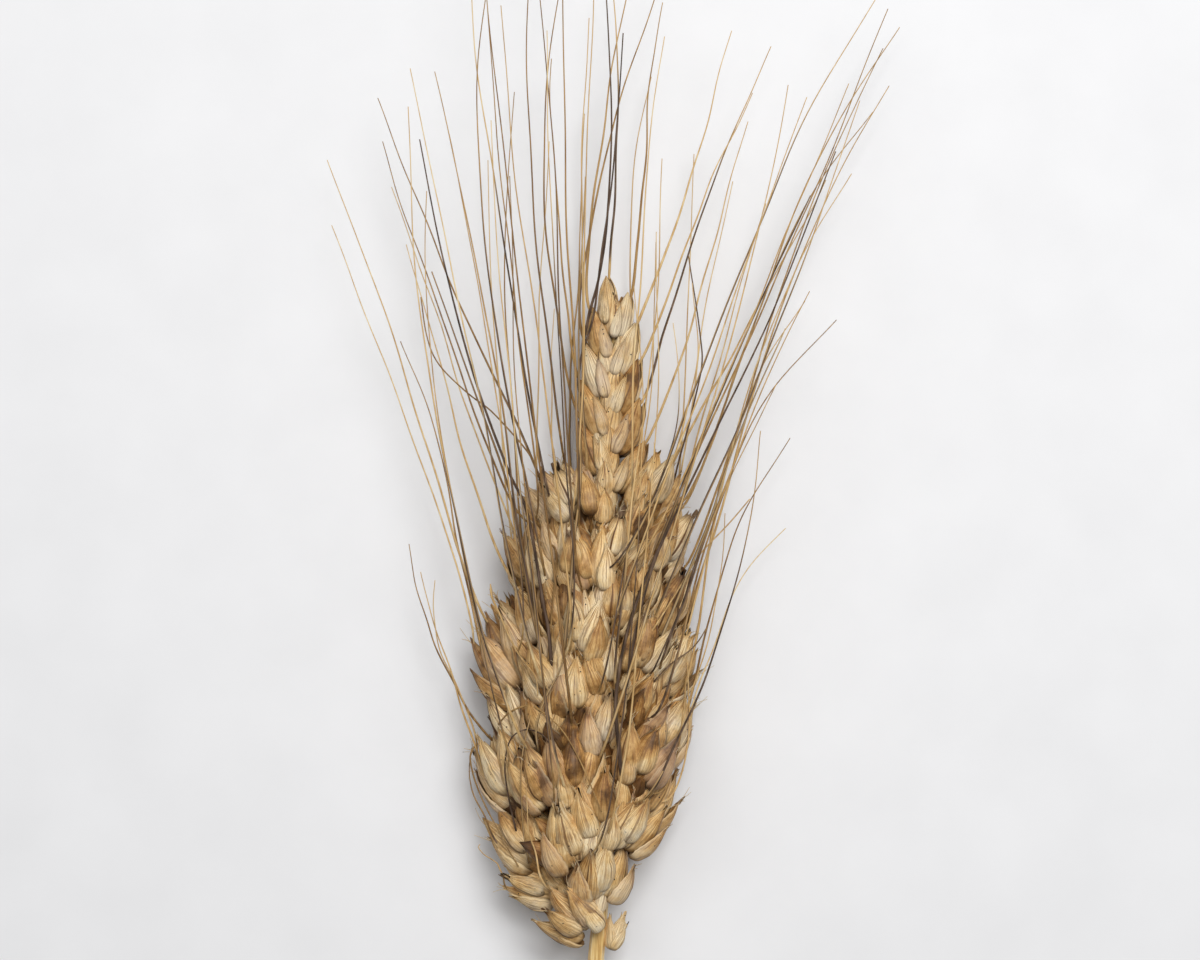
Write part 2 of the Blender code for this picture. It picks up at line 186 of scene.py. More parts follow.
def surface(grid, across, along, outside, mark):
    """A record of a closed tube from its grid of points: rows, ring corners, 3 coordinates.

    across and outside hold for the corners of every ring, and along for each row.
    """
    rows, ring, _ = grid.shape
    grain = np.empty(grid.shape)
    grain[..., 0], grain[..., 1], grain[..., 2] = across, along[:, None], outside
    return {
        "points": grid.reshape(-1, 3),
        "faces": grid_faces(rows, ring),
        "grain": grain.reshape(-1, 3),
        "mark": np.broadcast_to(np.asarray(mark), grid.shape).reshape(-1, 3),
    }


def joined(surfaces):
    """Points and faces of surface records, laid end to end."""
    starts = np.cumsum([0] + [len(each["points"]) for each in surfaces])
    faces = [[corner + int(start) for corner in face]
             for each, start in zip(surfaces, starts) for face in each["faces"]]
    return np.concatenate([each["points"] for each in surfaces]), faces


print("faces of a 3 by 4 tube:", len(grid_faces(3, 4)))

# %% Meshes
FLOOR_EASE = 1.2        # millimetres over the floor within which a husk is flattened
HUSK_FINISH = "dry_husk_skin"
laid_down = []          # every surface of husk skin, to lay loose awns over later


def pressed(points):
    """Points in millimetres, with those near or under the floor eased to stay above it.

    Below FLOOR_EASE a height becomes FLOOR_EASE times exp(height / FLOOR_EASE - 1), so a husk that
    the ear lies on is flattened and nothing reaches under the floor.
    """
    height = points[:, 2]
    eased = FLOOR_EASE * np.exp(np.minimum(height / FLOOR_EASE - 1, 0))
    return np.column_stack([points[:, :2], np.where(height < FLOOR_EASE, eased, height)])


def placed(name, data):
    """A new object of a mesh, lamp or camera, linked to the scene."""
    made = bpy.data.objects.new(name, data)
    bpy.context.scene.collection.objects.link(made)
    return made


def mesh_piece(name, surfaces, material, *nodes):
    """One smooth-shaded piece from surface records in millimetres, riding on the ear."""
    if material.name == HUSK_FINISH:
        laid_down.extend(surfaces)
    points, faces = joined(surfaces)
    mesh = bpy.data.meshes.new(name)
    mesh.from_pydata((pressed(points) * MM).tolist(), [], faces)
    for title in ("grain", "mark"):
        values = np.concatenate([each[title] for each in surfaces]).astype(np.float32)
        attribute = mesh.attributes.new(title, "FLOAT_VECTOR", "POINT")
        attribute.data.foreach_set("vector", values.ravel())
    mesh.shade_smooth()
    mesh.materials.append(material)
    piece = placed(name, mesh)
    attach(piece, "root")
    if nodes:
        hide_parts(*nodes)


deep = pressed(np.array([[0.0, 0.0, -1.0]]))[0, 2]
print("a point 1 mm under the floor goes to", round(float(deep), 2), "mm over it")

# %% [markdown]
# ## Colours and shader nodes
# Colours are written as sRGB hex values, the way a paint chart gives them, and shaders want
# linear light, so one function converts them. A second sets or links the sockets of a node, and a
# third adds a node, sets it and links it in one line, so a material reads from top to bottom.

# %% Colour and node helpers


def linear(hex_colour, alpha=1.0):
    """A hex colour such as D9B45F as linear red, green, blue and alpha."""
    parts = [int(hex_colour[i:i + 2], 16) / 255 for i in (0, 2, 4)]
    return [p / 12.92 if p <= 0.04045 else ((p + 0.055) / 1.055) ** 2.4 for p in parts] + [alpha]


def connect(tree, node, inputs):
    """Set each named or numbered socket of a node to a value, or link it to another's output."""
    for key, value in inputs.items():
        if isinstance(value, bpy.types.NodeSocket):
            tree.links.new(value, node.inputs[key])
        else:
            node.inputs[key].default_value = value


def add(tree, kind, inputs=None, stops=(), **settings):
    """Add a node of a kind with its settings and inputs, and give its first output.

    stops are the (position, hex colour) pairs of a colour ramp.
    """
    node = tree.nodes.new("ShaderNode" + kind)
    for title, value in settings.items():
        setattr(node, title, value)
    connect(tree, node, inputs or {})
    for step, (position, colour) in enumerate(stops):
        elements = node.color_ramp.elements
        element = elements[step] if step < 2 else elements.new(position)
        element.position = position
        element.color = linear(colour)
    return next(output for output in node.outputs if output.enabled)


def new_material(name):
    """An empty material with its Principled shader, as (material, tree, shader)."""
    material = bpy.data.materials.new(name)
    material.use_nodes = True
    tree = material.node_tree
    return material, tree, tree.nodes["Principled BSDF"]


print("straw yellow in linear light:", np.round(linear("D9B45F"), 3))

# %% [markdown]
# ## The husk: a keeled, boat-shaped shell
# A glume or a lemma is a dry leaf folded along its midrib: rounded at the foot, widest at about
# two fifths of its length, and drawn out to a beak. A subdivided plane could be sculpted to this,
# but a formula makes hundreds of them, all a little different. Each ring goes across the outside
# from one margin to the other, and back across the inside, so the shell is closed and has a real
# thickness. Old husks are torn at the tip, so the last rows can stay open and end in uneven
# teeth.

# %% Outline of a husk
SHELL_ROWS = 17
SHELL_ACROSS = 11
SHELL_THICKNESS = 0.12  # millimetres
ROUND_FOOT, LONG_TIP = 0.45, 0.85       # powers of the outline at the foot and at the tip


def fullness(along):
    """Share of the full width at a place along a husk: a rounded foot, then a long taper.

    along to the power ROUND_FOOT times (1 - along) to the power LONG_TIP, scaled to a peak of 1.
    """
    peak = ROUND_FOOT / (ROUND_FOOT + LONG_TIP)
    top = peak ** ROUND_FOOT * (1 - peak) ** LONG_TIP
    return along ** ROUND_FOOT * (1 - along) ** LONG_TIP / top


def wobble(random, places, waves, size):
    """A smooth random line: a sum of three sine waves with random phases."""
    total = np.zeros_like(places)
    for wave in (1, 2, 3):
        total += np.sin(places * waves * wave * 2 * np.pi + random.uniform(0, 6.3)) / wave
    return total * size / 1.8


print("a husk is widest at", round(ROUND_FOOT / (ROUND_FOOT + LONG_TIP), 2), "of its length")

# %% Shape of one husk


def husk(random, shape, length, width, depth, wrap, keel=0.2, hook=0.12, torn=0.0):
    """A closed keeled shell in its own directions: across, along and back, in millimetres.

    shape is (tone, stain, darkness). The angle round the husk runs from -wrap to wrap. A point is
    half the width times the fullness times sin(angle) across, and half the depth times the fullness
    times cos(angle) to the back, with a ridge at angle 0 for the keel. The hook bends the whole
    shell forwards with the square of the distance from its foot. A torn tip keeps a share of its
    width, and its corners run on or fall short by a random length.
    """
    along = np.linspace(0.0, 1.0, SHELL_ROWS) ** 1.1
    full = np.maximum(fullness(np.clip(along, 0.004, 0.985)), 0.05)
    full = np.maximum(full, torn * 0.55 * along ** 2)
    side = np.linspace(-1.0, 1.0, SHELL_ACROSS)
    narrow = 1 - (0.3 + 0.2 * torn) * along ** 3
    left = narrow - 0.09 * np.abs(wobble(random, along, 2.0, 1.0))
    right = narrow - 0.09 * np.abs(wobble(random, along, 2.3, 1.0))
    reach = np.where(side[None] < 0, left[:, None], right[:, None]) * math.radians(wrap)
    angle = side[None] * reach
    ridge = keel * np.exp(-(angle / 0.22) ** 2) * full[:, None] ** 0.6
    nerves = 0.03 * np.cos(angle * 8.0) * full[:, None]
    crease = wobble(random, along, 1.6, 0.06)[:, None] * np.cos(angle * 2 + random.uniform(0, 3))
    teeth = random.uniform(-1, 0.7, SHELL_ACROSS) * (0.03 + 0.16 * torn)
    reach_along = along[:, None] + teeth[None] * along[:, None] ** 6
    layers = []
    for inset in (0.0, SHELL_THICKNESS):
        across_radius = np.maximum(width / 2 * full - inset, 0.03)[:, None]
        back_radius = np.maximum(depth / 2 * full - inset, 0.03)[:, None]
        swell = 1 + crease + nerves
        x = across_radius * np.sin(angle) * swell
        z = back_radius * np.cos(angle) * swell + ridge * (1 if inset == 0 else 0.6)
        layers.append(np.stack([x, reach_along * length, z], -1))
    grid = np.concatenate([layers[0], layers[1][:, ::-1]], axis=1)
    grid[..., 2] -= hook * length * (grid[..., 1] / length - 0.25) ** 2
    grid[..., 0] += wobble(random, along, 0.6, 0.22)[:, None] * along[:, None]
    outside = np.repeat([1.0, 0.0], SHELL_ACROSS)
    return surface(grid, np.concatenate([side, side[::-1]]), along, outside, shape)


trial = husk(np.random.default_rng(1), (0.5, 0.5, 0.5), 10, 4, 3, 90)
print("one husk has", len(trial["points"]), "points")

# %% The inside of a floret
KERNEL_ROWS, KERNEL_RING = 10, 12
KERNEL_OUTSIDE = 0.4    # a little browner than a husk's outside: painted shade inside the floret


def kernel(shape, length, width, depth):
    """The closed inside of a floret: the inner husk round its grain, an almond with a faint crease.

    A ring is an ellipse of the fullness times width and depth, with a dent at the front.
    """
    along = np.linspace(0.0, 1.0, KERNEL_ROWS)
    full = np.maximum(fullness(np.clip(along, 0.004, 0.99)), 0.04)
    angle = np.linspace(0, 2 * np.pi, KERNEL_RING, endpoint=False)
    dent = 1 - 0.14 * np.exp(-((angle - np.pi) / 0.4) ** 2)
    x = np.outer(full * width / 2, np.sin(angle) * dent)
    z = np.outer(full * depth / 2, np.cos(angle) * dent)
    grid = np.stack([x, np.broadcast_to(along[:, None] * length, x.shape), z], -1)
    grid[..., 2] -= 0.1 * length * (along[:, None] - 0.25) ** 2
    return surface(grid, np.sin(angle), along, KERNEL_OUTSIDE, shape)


def turned(record, origin, frame_rows):
    """A surface record moved to a place: frame_rows are its across, along and back there."""
    moved = dict(record)
    moved["points"] = record["points"] @ frame_rows + origin
    return moved


print("a kernel has", KERNEL_ROWS * KERNEL_RING, "points")

# %% [markdown]
# ## The awn and the fray: tapering bristles along a line
# An awn is a thin stiff bristle drawn out of a husk's beak. A fray is a short loose fibre where a
# husk has torn. Both are a ring carried along a smooth curve. A curve object with a bevel could
# draw them, but a swept grid keeps the attributes that colour them along their length and on one
# side.

# %% Lines and tubes
AWN_ROWS = 56
AWN_SIDES = 6


def smooth_line(points, count):
    """Points evenly spread on a smooth curve through the given ones (Catmull-Rom).

    Between points 1 and 2 of each four, the curve is their cubic blend with the slope at a point
    equal to half the step between its neighbours.
    """
    points = np.asarray(points, float)
    padded = np.vstack([2 * points[0] - points[1], points, 2 * points[-1] - points[-2]])
    p0, p1, p2, p3 = (padded[i:len(padded) - 3 + i] for i in range(4))
    t = np.linspace(0, 1, 12, endpoint=False)[:, None, None]
    curve = 0.5 * (2 * p1 + (p2 - p0) * t + (2 * p0 - 5 * p1 + 4 * p2 - p3) * t ** 2
                   + (3 * p1 - p0 - 3 * p2 + p3) * t ** 3)
    curve = np.vstack([curve.transpose(1, 0, 2).reshape(-1, 3), points[-1:]])
    steps = np.linalg.norm(np.diff(curve, axis=0), axis=1)
    distance = np.concatenate([[0], np.cumsum(steps)])
    even = np.linspace(0, distance[-1], count)
    return np.stack([np.interp(even, distance, curve[:, axis]) for axis in range(3)], -1)


def swept(line, radius, sides):
    """Grid of a tube along a line: each ring stands square to it, with its radius there."""
    along = np.gradient(line, axis=0)
    along /= np.linalg.norm(along, axis=1)[:, None]
    side = np.cross(along, np.array([0.21, 0.05, 1.0]))
    side /= np.linalg.norm(side, axis=1)[:, None]
    top = np.cross(side, along)
    angle = np.linspace(0, 2 * np.pi, sides, endpoint=False)[None, :, None]
    ring = side[:, None] * np.cos(angle) - top[:, None] * np.sin(angle)
    return line[:, None] + ring * np.asarray(radius)[:, None, None]


arc = smooth_line([(0, 0, 0), (1, 1, 0), (2, 0, 0)], 5)
print("a smooth line over a peak passes", np.round(arc[1], 2))

# %% Bristles
AWN_RADIUS, AWN_TIP = 0.2, 0.07         # millimetres
FRAY_RADIUS, FRAY_TIP = 0.085, 0.03
FRAY_ROWS, FRAY_SIDES = 7, 4
OVER_FLOOR = 0.05                       # millimetres that a bristle keeps over the floor


def bristle(random, line, base, tip, rows, sides, tone, dark, stretch, sway):
    """A tapering tube along a line of a few points, with its attributes.

    Its radius falls from base to tip with (1 - share) to the power 1.3, after it has grown from two
    fifths of that over the first 25th of its length, and sway is how far it wavers. The darkness
    holds along the stretch (from, to), fades at both ends, and is deeper on one side, which is
    painted shade.
    """
    path = smooth_line(line, rows)
    share = np.linspace(0, 1, rows)
    free = np.minimum(1, share * 5)
    path[:, 0] += wobble(random, share, 1.2, sway) * free
    path[:, 2] += wobble(random, share, 1.0, sway * 0.7) * free
    radius = ((base - tip) * (1 - share) ** 1.3 + tip) * np.minimum(1, 0.4 + share * 15)
    path[:, 2] = np.maximum(path[:, 2], radius + OVER_FLOOR)
    grid = swept(path, radius, sides)
    round_it = np.linspace(0, 2 * np.pi, sides, endpoint=False)
    held = np.clip((share - stretch[0]) / 0.06, 0, 1) * np.clip((stretch[1] - share) / 0.3, 0, 1)
    mark = np.empty(grid.shape)
    mark[..., 0] = tone
    mark[..., 1] = 0.5
    # painted shade: the burnt darkness is made deeper on one side of each bristle
    painted_side_shade = 0.68 + 0.32 * np.cos(round_it + random.uniform(0, 6.3))
    mark[..., 2] = dark * held[:, None] * painted_side_shade[None]
    return surface(grid, np.cos(round_it), share, 1.0, mark)


def awn(random, line, thick=1.0, dark=0.5, sway=0.4):
    """One awn: 0.4 to 0.5 mm thick at its beak and 0.14 mm at its tip."""
    stretch = (random.uniform(0.0, 0.08), random.uniform(0.35, 0.95))
    return bristle(random, line, AWN_RADIUS * thick, AWN_TIP, AWN_ROWS, AWN_SIDES,
                   random.uniform(0, 1), dark, stretch, sway)


def fray(random, start, way, length):
    """One loose fibre, thinner than a hair's breadth at its end, that curls away from its start."""
    curl = random.uniform(-0.5, 0.5, 3) * length
    line = [start, start + way * length * 0.5 + curl * 0.2, start + way * length + curl]
    return bristle(random, line, FRAY_RADIUS, FRAY_TIP, FRAY_ROWS, FRAY_SIDES,
                   random.uniform(0.4, 1), random.choice([0.0, 0.6]), (0.0, 1.0), 0.0)


print("an awn has", AWN_ROWS * AWN_SIDES, "points")

# %% [markdown]
# ## The spikelet: two glumes round a fan of florets
# On the plant, a spikelet is two empty husks, the glumes, on the outside, and between them two to
# five florets that lean apart left and right. A crowded spikelet opens like a small tulip. In the
# slender spike the same parts stay narrow, and each side shows one glume laid over a fat floret.
# Each part is placed by how far it leans, where its foot stands, how long it is against the
# spikelet, and which way its back faces.

# %% Parts of a spikelet
# Each: lean sideways, lean outwards, foot (across, along, outward), length against the spikelet,
# width, depth, facing, wrap, and how torn its tip is. Angles are in degrees, sizes in millimetres;
# facing is 0 to +across and 90 outwards.
# skin is the tone's shift, the least stain and the deepest stain of each kind of part, chaos turns
# and shifts the parts at random, and longer is their length against the solid's.
USUAL_LENGTH = 10.5     # the tables' widths and offsets are for a spikelet this long
CROWDED = {
    "florets": (
        (0, -2, (0.0, 0.8, -0.2), 1.0, 5.2, 4.2, 85, 125, 0.35),
        (-12, 2, (-1.6, 0.2, 0.0), 0.97, 5.0, 4.0, 132, 120, 0.45),
        (12, 1, (1.6, 0.4, -0.1), 0.94, 5.0, 4.0, 48, 120, 0.45),
        (-3, 6, (-0.4, 2.0, 0.9), 0.82, 4.4, 3.6, 105, 115, 0.7),
    ),
    "glumes": (
        (-17, 4, (-2.2, -0.5, 0.5), 0.76, 4.7, 3.5, 145, 92, 0.6),
        (17, 4, (2.2, -0.5, 0.5), 0.76, 4.7, 3.5, 35, 92, 0.6),
    ),
    "skin": {"florets": (0.0, 0.0, 0.9), "glumes": (0.0, 0.1, 1.0)},
    "chaos": 1.0, "longer": 1.08,
}
SLENDER = {
    "florets": (
        (0, 0, (0.0, 0.6, -0.4), 1.0, 3.8, 2.8, 90, 125, 0.0),
        (-3, 0, (-1.2, 0.2, -0.5), 1.06, 4.4, 3.4, 160, 118, 0.0),
        (3, 0, (1.2, 0.2, -0.5), 1.06, 4.4, 3.4, 20, 118, 0.0),
    ),
    "glumes": (
        (-6, -4, (-2.9, 0.0, -0.8), 0.74, 2.7, 1.9, 180, 96, 0.0),
        (6, -4, (2.9, 0.0, -0.8), 0.74, 2.7, 1.9, 0, 96, 0.0),
    ),
    "skin": {"florets": (-0.25, 0.0, 0.3), "glumes": (0.1, 0.6, 1.0)},
    "chaos": 0.3, "longer": 1.12,
}
print("husks of a crowded spikelet:", len(CROWDED["florets"]) + len(CROWDED["glumes"]))

# %% One spikelet


def part_frame(base, lean, tip_out, facing):
    """The directions of one husk on a spikelet whose directions are the rows of base.

    Its length starts along the spikelet, leans sideways and then outwards; its back faces the given
    angle between across and outward, squared up against its length.
    """
    across, along, outward = base
    a, b = math.radians(lean), math.radians(tip_out)
    length = unit(along * math.cos(a) * math.cos(b) + across * math.sin(a) + outward * math.sin(b))
    turn = math.radians(facing)
    back = across * math.cos(turn) + outward * math.sin(turn)
    back = unit(back - length * np.dot(back, length))
    return np.array([np.cross(length, back), length, back])


def spikelet_parts(random, foot, long, base, design, frays, tone):
    """The surfaces of one spikelet, and each floret's beak and direction for its awn.

    frays is how many loose fibres a torn husk has, and tone is how light the husks are, from 0 to
    1. Widths and offsets shrink with a short spikelet.
    """
    surfaces, beaks = [], []
    chaos = design["chaos"]
    size = min(max(long / USUAL_LENGTH, 0.7), 1.12)
    for kind in ("florets", "glumes"):
        shift, clean, stained = design["skin"][kind]
        for lean, out, offset, share, width, depth, facing, wrap, torn in design[kind]:
            frame_rows = part_frame(
                base, lean + random.uniform(-8, 8) * chaos, out + random.uniform(-6, 6) * chaos,
                facing + random.uniform(-20, 20) * chaos,
            )
            origin = foot + size * np.array(offset) @ base + random.uniform(-0.3, 0.3, 3) * chaos
            reach = long * share * random.uniform(1 - 0.06 * chaos, 1 + 0.06 * chaos)
            wide = width * size * random.uniform(0.93, 1.07)
            depth = depth * size
            shape = (tone + shift + random.uniform(-0.35, 0.35), random.uniform(clean, stained),
                     random.uniform(0, 1))
            torn = torn * random.uniform(0.3, 1.4)
            shell = husk(random, shape, reach, wide, depth, wrap, hook=random.uniform(0.05, 0.2),
                         keel=random.uniform(0.05, 0.3), torn=torn)
            surfaces.append(turned(shell, origin, frame_rows))
            tips = surfaces[-1]["points"].reshape(SHELL_ROWS, -1, 3)[-2]
            if kind == "florets":
                inside = kernel(shape, reach * 0.86, wide * 0.84, depth * 0.84)
                surfaces.append(turned(inside, origin + frame_rows[1] * 0.3, frame_rows))
                beaks.append((tips.mean(axis=0), frame_rows[1]))
            for _ in range(int(round(frays * torn * random.uniform(0, 2)))):
                way = unit(frame_rows[1] + random.uniform(-0.35, 0.35, 3))
                surfaces.append(fray(random, tips[random.integers(len(tips))], way,
                                     random.uniform(0.8, 2.6)))
    return surfaces, beaks


_, trial_beaks = spikelet_parts(np.random.default_rng(1), np.zeros(3), 10.0, np.eye(3), CROWDED,
                                4, 0.5)
print("beaks of a crowded spikelet:", len(trial_beaks))

# %% [markdown]
# ## Husk finish: dry papery plant skin
# The husks are cream to ochre with darker hair-thin nerves along them, a brown keel, pink-grey
# stains on some glumes, pale papery margins and a few black specks of mould. All of this follows
# the husk, so the pattern reads the grain attribute, and only the stains read the place in space,
# so that they run over several husks. Nerves stand some 0.6 mm apart, 13 of them round a whole
# husk.

# %% Material of the husks
NERVES = 13 * math.pi           # radians of nerve wave over half a husk's width
BLOTCH = 1 / (5 * MM)           # stains some 5 mm across
SPECK = 1 / (0.9 * MM)          # places for specks, 0.9 mm apart
EASED = {"interpolation_type": "SMOOTHSTEP"}    # a range that starts and ends gently


def husk_material():
    """Dry glume and lemma skin: papery, ribbed, matte with a slight waxy gloss."""
    material, tree, shader = new_material(HUSK_FINISH)
    grain = add(tree, "Attribute", attribute_name="grain").node.outputs["Vector"]
    mark = add(tree, "Attribute", attribute_name="mark").node.outputs["Vector"]
    place = add(tree, "TexCoord").node.outputs["Object"]
    across, along, outside = add(tree, "SeparateXYZ", {0: grain}).node.outputs
    tone, stain, dark = add(tree, "SeparateXYZ", {0: mark}).node.outputs
    # Broad patches of straw, cream and ochre.
    patch = add(tree, "TexNoise",
                {"Vector": place, "Scale": BLOTCH, "Detail": 5.0, "Roughness": 0.65})
    lift = add(tree, "Math", {0: tone, 1: 0.42}, operation="MULTIPLY")
    shade = add(tree, "Math", {0: patch, 1: 1.05, 2: lift}, operation="MULTIPLY_ADD")
    colour = add(tree, "ValToRGB", {0: shade}, stops=(
        (0.17, "2E1F12"), (0.36, "7A5930"), (0.48, "C0965D"), (0.60, "E4C188"), (0.73, "F6DFB2"),
        (0.94, "FDF3DA")))
    # Long fibres: noise that is stretched along the husk, stronger towards the tip.
    slow = add(tree, "Math", {0: along, 1: 0.10}, operation="MULTIPLY")
    lengthwise = add(tree, "CombineXYZ", {0: across, 1: slow, 2: tone})
    fibre = add(tree, "TexNoise",
                {"Vector": lengthwise, "Scale": 15.0, "Detail": 6.0, "Roughness": 0.7})
    streaks = add(tree, "ValToRGB", {0: fibre}, stops=(
        (0.34, "644830"), (0.44, "B08C60"), (0.53, "F4E8CE"), (0.70, "FFFFFF")))
    upper = add(tree, "MapRange", {0: along, 1: 0.15, 2: 0.8, 3: 0.38, 4: 0.97})
    colour = add(tree, "Mix", {0: upper, 6: colour, 7: streaks},
                 data_type="RGBA", blend_type="MULTIPLY")
    # What lies over that, from the lowest layer to the highest: where it covers, and its tint.
    layers = []
    # Weathering: grey-brown mottling that runs along the husk, on the more stained husks.
    worn_place = add(tree, "Mapping", {"Vector": lengthwise, "Scale": (1.0, 5.0, 9.0)})
    worn = add(tree, "TexNoise",
               {"Vector": worn_place, "Scale": 3.2, "Detail": 7.0, "Roughness": 0.75})
    shown = add(tree, "MapRange", {0: worn, 1: 0.5, 2: 0.64, 4: 0.75}, **EASED)
    share = add(tree, "MapRange", {0: stain, 1: 0.0, 2: 0.8, 3: 0.25, 4: 1.0})
    cover = add(tree, "Math", {0: shown, 1: share}, operation="MULTIPLY")
    layers.append((cover, "83694E"))
    # Nerves: thin brown lines, evenly spaced.
    phase = add(tree, "Math", {0: across, 1: NERVES}, operation="MULTIPLY")
    wave = add(tree, "Math", {0: phase}, operation="SINE")
    nerve = add(tree, "MapRange", {0: wave, 1: 0.45, 2: 1.0}, **EASED)
    faint = add(tree, "MapRange", {0: patch, 1: 0.35, 2: 0.7, 3: 0.04, 4: 0.32})
    cover = add(tree, "Math", {0: nerve, 1: faint}, operation="MULTIPLY")
    layers.append((cover, "86592B"))
    # The keel is a brown line down the back, and the margins are pale paper.
    centre = add(tree, "Math", {0: across}, operation="ABSOLUTE")
    line = add(tree, "MapRange", {0: centre, 1: 0.07, 2: 0.02}, **EASED)
    keel = add(tree, "Math", {0: line, 1: dark}, operation="MULTIPLY")
    layers.append((keel, "5D3A1B"))
    edge = add(tree, "MapRange", {0: centre, 1: 0.78, 2: 0.98, 4: 0.35}, **EASED)
    layers.append((edge, "EAD7AC"))
    # Pink-grey stains, on some husks only.
    chosen = add(tree, "Math", {0: stain, 1: 3.2}, operation="POWER")
    amount = add(tree, "Math", {0: chosen, 1: patch}, operation="MULTIPLY")
    cover = add(tree, "MapRange", {0: amount, 1: 0.18, 2: 0.5, 4: 0.5})
    layers.append((cover, "BE9E88"))
    # The foot is darkened as painted crevice shade over a faint rust rim; some tips are scorched.
    # painted shade: the deep brown at each husk's foot stands for the crevice shade under it
    low = add(tree, "MapRange", {0: along, 1: 0.17, 2: 0.0, 4: 0.75}, **EASED)
    layers.append((low, "4E341C"))
    high = add(tree, "MapRange", {0: along, 1: 0.7, 2: 1.0}, **EASED)
    burnt = add(tree, "Math", {0: dark, 1: 5.0}, operation="POWER")
    scorch = add(tree, "Math", {0: high, 1: burnt}, operation="MULTIPLY")
    layers.append((scorch, "5A3F28"))
    # Specks of mould: small dots at some of the cells of a Voronoi pattern.
    dots = add(tree, "TexVoronoi", {"Vector": place, "Scale": SPECK}).node.outputs
    near = add(tree, "Math", {0: dots["Distance"], 1: 0.14}, operation="LESS_THAN")
    picked = add(tree, "SeparateXYZ", {0: dots["Color"]})
    some = add(tree, "Math", {0: picked, 1: 0.84}, operation="GREATER_THAN")
    speck = add(tree, "Math", {0: near, 1: some}, operation="MULTIPLY")
    layers.append((speck, "2A1D14"))
    # The inside of a shell is darker brown, as painted shade inside the shell.
    inner = add(tree, "MapRange", {0: outside, 1: 1.0, 2: 0.0, 4: 0.6})
    layers.append((inner, "80572C"))
    for cover, tint in layers:
        colour = add(tree, "Mix", {0: cover, 6: colour, 7: linear(tint)}, data_type="RGBA")
    rough = add(tree, "MapRange", {0: fibre, 1: 0.3, 2: 0.7, 3: 0.42, 4: 0.66})
    ribs = add(tree, "Math", {0: nerve, 1: 0.35, 2: fibre}, operation="MULTIPLY_ADD")
    bump = add(tree, "Bump", {"Strength": 0.6, "Distance": 0.12 * MM, "Height": ribs})
    connect(tree, shader, {"Base Color": colour, "Roughness": rough, "Normal": bump,
                           "Specular IOR Level": 0.4, "IOR": 1.48})
    return material


husk_skin = husk_material()
print("husk nodes:", len(husk_skin.node_tree.nodes))

# %% [markdown]
# ## Awn finish: dry bristle, tan and burnt brown
# An awn is a smooth, dry bristle, and so thin that its gloss never shows as more than a soft
# edge. The darkness in its mark says how far the burnt brown goes, and streaks along it break
# that up. They are drawn 0.6 mm wide and 9 mm long, coarser than real ones, which are too fine to
# show.

# %% Material of the awns


def awn_material():
    """Dry bristle: matte tan with nearly black stretches."""
    material, tree, shader = new_material("dry_awn_bristle")
    mark = add(tree, "Attribute", attribute_name="mark").node.outputs["Vector"]
    place = add(tree, "TexCoord").node.outputs["Object"]
    tone, _, dark = add(tree, "SeparateXYZ", {0: mark}).node.outputs
    stretched = add(tree, "Mapping", {"Vector": place, "Scale": (1.0, 0.07, 1.0)})
    streak = add(tree, "TexNoise", {"Vector": stretched, "Scale": 1 / (0.6 * MM), "Detail": 3.0})
    lift = add(tree, "Math", {0: tone, 1: 0.5}, operation="MULTIPLY")
    shade = add(tree, "Math", {0: streak, 1: 0.7, 2: lift}, operation="MULTIPLY_ADD")
    colour = add(tree, "ValToRGB", {0: shade}, stops=(
        (0.32, "7A5B36"), (0.52, "AB8856"), (0.72, "CCA973"), (0.90, "E4CC9C")))
    burnt = add(tree, "ValToRGB", {0: streak}, stops=(
        (0.30, "35281F"), (0.55, "5C493B"), (0.80, "8C7662")))
    patchy = add(tree, "Math", {0: streak, 1: 0.5, 2: dark}, operation="MULTIPLY_ADD")
    cover = add(tree, "MapRange", {0: patchy, 1: 0.45, 2: 0.95}, **EASED)
    colour = add(tree, "Mix", {0: cover, 6: colour, 7: burnt}, data_type="RGBA")
    bump = add(tree, "Bump", {"Strength": 0.4, "Distance": 0.05 * MM, "Height": streak})
    connect(tree, shader, {"Base Color": colour, "Normal": bump, "Roughness": 0.6,
                           "Specular IOR Level": 0.18, "IOR": 1.48})
    return material


awn_skin = awn_material()
print("awn nodes:", len(awn_skin.node_tree.nodes))

# %% [markdown]
# ## Dressing every spikelet
# Each spikelet gets its nest of husks in place of its solid, and its awn along the solid's own
# awn. Several florets of a spikelet can carry an awn, so some get a second one that starts at
# another beak and drifts away from the first. At the front of the ear, the rounded feet of the
# husks stand forward and show over the tips below them, so those feet are lifted, less and less
# towards the stalk. Their awns would then run through the lifted husks above, so each rises over
# them in a low arch. The random numbers of a spikelet are seeded by its place in the list, so the
# ear comes out the same every time.

# %% How the rows differ
# Millimetres for the rows that show: how far feet are lifted, and how far awns arch.
RISE = {"front_left": (4.0, 3.0), "middle_left": (4.4, 3.3), "middle_right": (4.4, 3.3),
        "front_right": (4.0, 3.0), "left_edge": (1.8, 1.2), "right_edge": (1.8, 1.2)}
NEAR_STALK = 14.0                     # millimetres over which the lift grows, from the lowest foot
FRAYS = {"left_edge": 8, "right_edge": 7}     # loose fibres where the ear is most worn
FRAYS_ELSEWHERE = 4
TONE_ALONG = ((-75, -62, -45, -20, 2, 14),    # places along the ear, and the shift of tone there
              (-0.15, -0.45, -0.38, -0.3, -0.5, 0.08))
PALER = {"left_edge": 0.12}           # rows whose husks have bleached more
DARK_FRONT = (0.3, 0.8, 1.0, 1.0)     # how burnt an awn can be at the front of the ear
DARK_BESIDE = (0.0, 0.1, 0.4, 0.75)   # and elsewhere
HIGH_ARCH = 2.0                       # awns that arch more than this are at the front
ROOT_DEPTH = 1.2                      # how far inside a beak its awn starts
SUNK_FOOT = 0.06                      # share of a spikelet's length that its foot goes inwards
print("rows that show:", len(RISE))

# %% Bending and turning


